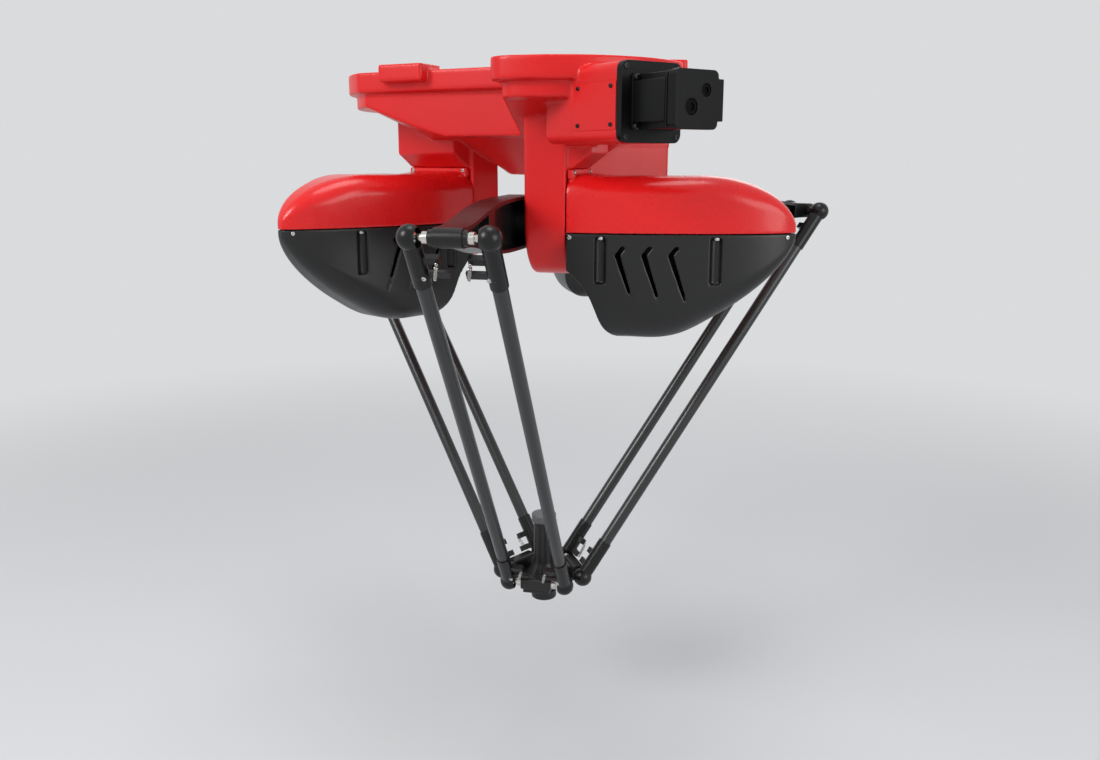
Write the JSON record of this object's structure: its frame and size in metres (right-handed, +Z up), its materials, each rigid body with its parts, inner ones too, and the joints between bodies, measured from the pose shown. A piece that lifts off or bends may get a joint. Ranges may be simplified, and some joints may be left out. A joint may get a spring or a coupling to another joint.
{
  "type": "parallel robot",
  "caption": "Ceiling-hung parallel robot: a red base casting with motor pods, hinged upper arms, paired rods on ball joints and a small platform with a turning tool flange.",
  "frame": {"origin": "middle of the three mounting pads' top plane, on the robot's vertical axis", "axes": "+Z up, out of the pads' tops; the robot hangs below; arm 1 points along -Y, and arms 2 and 3 stand 120 and 240 degrees further round +Z"},
  "size_m": [0.7584, 0.761, 0.7401],
  "materials": {
    "red_casting": "gloss red paint on a casting",
    "dark_plate": "satin anodised",
    "bolt_steel": "bright zinc plated",
    "adapter_metal": "satin anodised",
    "motor_black": "satin black paint",
    "gear_steel": "machined",
    "belt_rubber": "matte",
    "shaft_steel": "ground",
    "red_housing": "gloss red paint on a casting",
    "red_cover": "gloss red moulded cover",
    "black_cover": "satin black moulded cover",
    "arm_black": "satin black anodised",
    "ball_steel": "polished",
    "rod_tube": "smooth carbon fibre tube",
    "rod_fitting": "satin black anodised",
    "lever_black": "satin moulded",
    "spring_steel": "bright spring wire",
    "platform_black": "satin anodised",
    "cap_grey": "satin anodised",
    "flange_steel": "machined"
  },
  "bodies": {
    "base": {"base_casting": "red_casting", "top_cover_plate": "dark_plate", "axis4_cover_plate": "dark_plate", "cover_screws": "bolt_steel", "axis4_adapter_plate": "adapter_metal", "axis4_motor_body": "motor_black", "axis4_motor_rear_cover": "motor_black", "axis4_gearbox": "gear_steel", "axis4_belt": "belt_rubber", "drive_housing_1": "red_housing", "reducer_1": "gear_steel", "servo_motor_1": "motor_black", "pod_top_cover_1": "red_cover", "pod_bottom_cover_1": "black_cover", "drive_housing_2": "red_housing", "reducer_2": "gear_steel", "servo_motor_2": "motor_black", "pod_top_cover_2": "red_cover", "pod_bottom_cover_2": "black_cover", "drive_housing_3": "red_housing", "reducer_3": "gear_steel", "servo_motor_3": "motor_black", "pod_top_cover_3": "red_cover", "pod_bottom_cover_3": "black_cover"},
    "axis4_drive": {"axis4_drive_pulley": "shaft_steel"},
    "axis4_output": {"axis4_output_shaft": "shaft_steel"},
    "arm_1": {"upper_arm_1": "arm_black", "arm_bolts_1": "bolt_steel", "output_flange_1": "gear_steel", "elbow_ball_studs_1": "ball_steel"},
    "forearm_1": {"forearm_fittings_1": "rod_fitting", "forearm_tubes_1": "rod_tube", "forearm_levers_1": "lever_black", "forearm_springs_1": "spring_steel"},
    "wrist_1": {"platform_bar_1": "platform_black", "wrist_ball_studs_1": "ball_steel"},
    "arm_2": {"upper_arm_2": "arm_black", "arm_bolts_2": "bolt_steel", "output_flange_2": "gear_steel", "elbow_ball_studs_2": "ball_steel"},
    "forearm_2": {"forearm_fittings_2": "rod_fitting", "forearm_tubes_2": "rod_tube", "forearm_levers_2": "lever_black", "forearm_springs_2": "spring_steel"},
    "wrist_2": {"platform_bar_2": "platform_black", "wrist_ball_studs_2": "ball_steel"},
    "arm_3": {"upper_arm_3": "arm_black", "arm_bolts_3": "bolt_steel", "output_flange_3": "gear_steel", "elbow_ball_studs_3": "ball_steel"},
    "forearm_3": {"forearm_fittings_3": "rod_fitting", "forearm_tubes_3": "rod_tube", "forearm_levers_3": "lever_black", "forearm_springs_3": "spring_steel"},
    "wrist_3": {"platform_bar_3": "platform_black", "wrist_ball_studs_3": "ball_steel"},
    "platform": {"platform_body": "platform_black", "platform_bearings": "shaft_steel", "platform_cap": "cap_grey"},
    "tool_flange": {"tool_flange": "flange_steel"}
  },
  "joints": [
    {"name": "arm_1_drive", "type": "hinge", "parent": "base", "child": "arm_1", "pos_m": [0, -0.128, -0.187], "axis": [1, 0, 0], "range_deg": [-4.5, 30]},
    {"name": "elbow_1", "type": "hinge", "parent": "arm_1", "child": "forearm_1", "pos_m": [0, -0.4, -0.187], "axis": [1, 0, 0], "range_deg": [-33.6, 5.1]},
    {"name": "wrist_1", "type": "hinge", "parent": "forearm_1", "child": "wrist_1", "pos_m": [0, -0.0456, -0.70011], "axis": [1, 0, 0], "range_deg": [-0.6, 3.6]},
    {"name": "arm_2_drive", "type": "hinge", "parent": "base", "child": "arm_2", "pos_m": [0.11085, 0.064, -0.187], "axis": [-0.5, 0.866, 0], "range_deg": [-4.5, 30]},
    {"name": "elbow_2", "type": "hinge", "parent": "arm_2", "child": "forearm_2", "pos_m": [0.34641, 0.2, -0.187], "axis": [-0.5, 0.866, 0], "range_deg": [-33.6, 5.1]},
    {"name": "wrist_2", "type": "hinge", "parent": "forearm_2", "child": "wrist_2", "pos_m": [0.03949, 0.0228, -0.70011], "axis": [-0.5, 0.866, 0], "range_deg": [-0.6, 3.6]},
    {"name": "arm_3_drive", "type": "hinge", "parent": "base", "child": "arm_3", "pos_m": [-0.11085, 0.064, -0.187], "axis": [-0.5, -0.866, 0], "range_deg": [-4.5, 30]},
    {"name": "elbow_3", "type": "hinge", "parent": "arm_3", "child": "forearm_3", "pos_m": [-0.34641, 0.2, -0.187], "axis": [-0.5, -0.866, 0], "range_deg": [-33.6, 5.1]},
    {"name": "wrist_3", "type": "hinge", "parent": "forearm_3", "child": "wrist_3", "pos_m": [-0.03949, 0.0228, -0.70011], "axis": [-0.5, -0.866, 0], "range_deg": [-0.6, 3.6]},
    {"name": "platform_lift", "type": "slide", "parent": "base", "child": "platform", "axis": [0, 0, -1], "range_m": [-0.0247, 0.1642]},
    {"name": "tool_turn", "type": "hinge", "parent": "platform", "child": "tool_flange", "pos_m": [0, 0, -0.70011], "axis": [0, 0, 1], "continuous": true},
    {"name": "axis4_output_turn", "type": "hinge", "parent": "base", "child": "axis4_output", "pos_m": [0, 0, -0.125], "axis": [0, 0, 1], "continuous": true},
    {"name": "axis4_drive_turn", "type": "hinge", "parent": "base", "child": "axis4_drive", "pos_m": [0.09614, -0.1996, -0.03], "axis": [0, 0, 1], "continuous": true}
  ],
  "couplings": [
    {"joint": "arm_2_drive", "follows": "arm_1_drive", "ratio": 1},
    {"joint": "arm_3_drive", "follows": "arm_1_drive", "ratio": 1},
    {"joint": "elbow_1", "follows": "arm_1_drive", "ratio": -1.117},
    {"joint": "wrist_1", "follows": "arm_1_drive", "ratio": 0.117},
    {"joint": "elbow_2", "follows": "arm_1_drive", "ratio": -1.117},
    {"joint": "wrist_2", "follows": "arm_1_drive", "ratio": 0.117},
    {"joint": "elbow_3", "follows": "arm_1_drive", "ratio": -1.117},
    {"joint": "wrist_3", "follows": "arm_1_drive", "ratio": 0.117},
    {"joint": "platform_lift", "follows": "arm_1_drive", "m_per_rad": 0.3135},
    {"joint": "axis4_drive_turn", "follows": "axis4_output_turn", "ratio": 1}
  ]
}
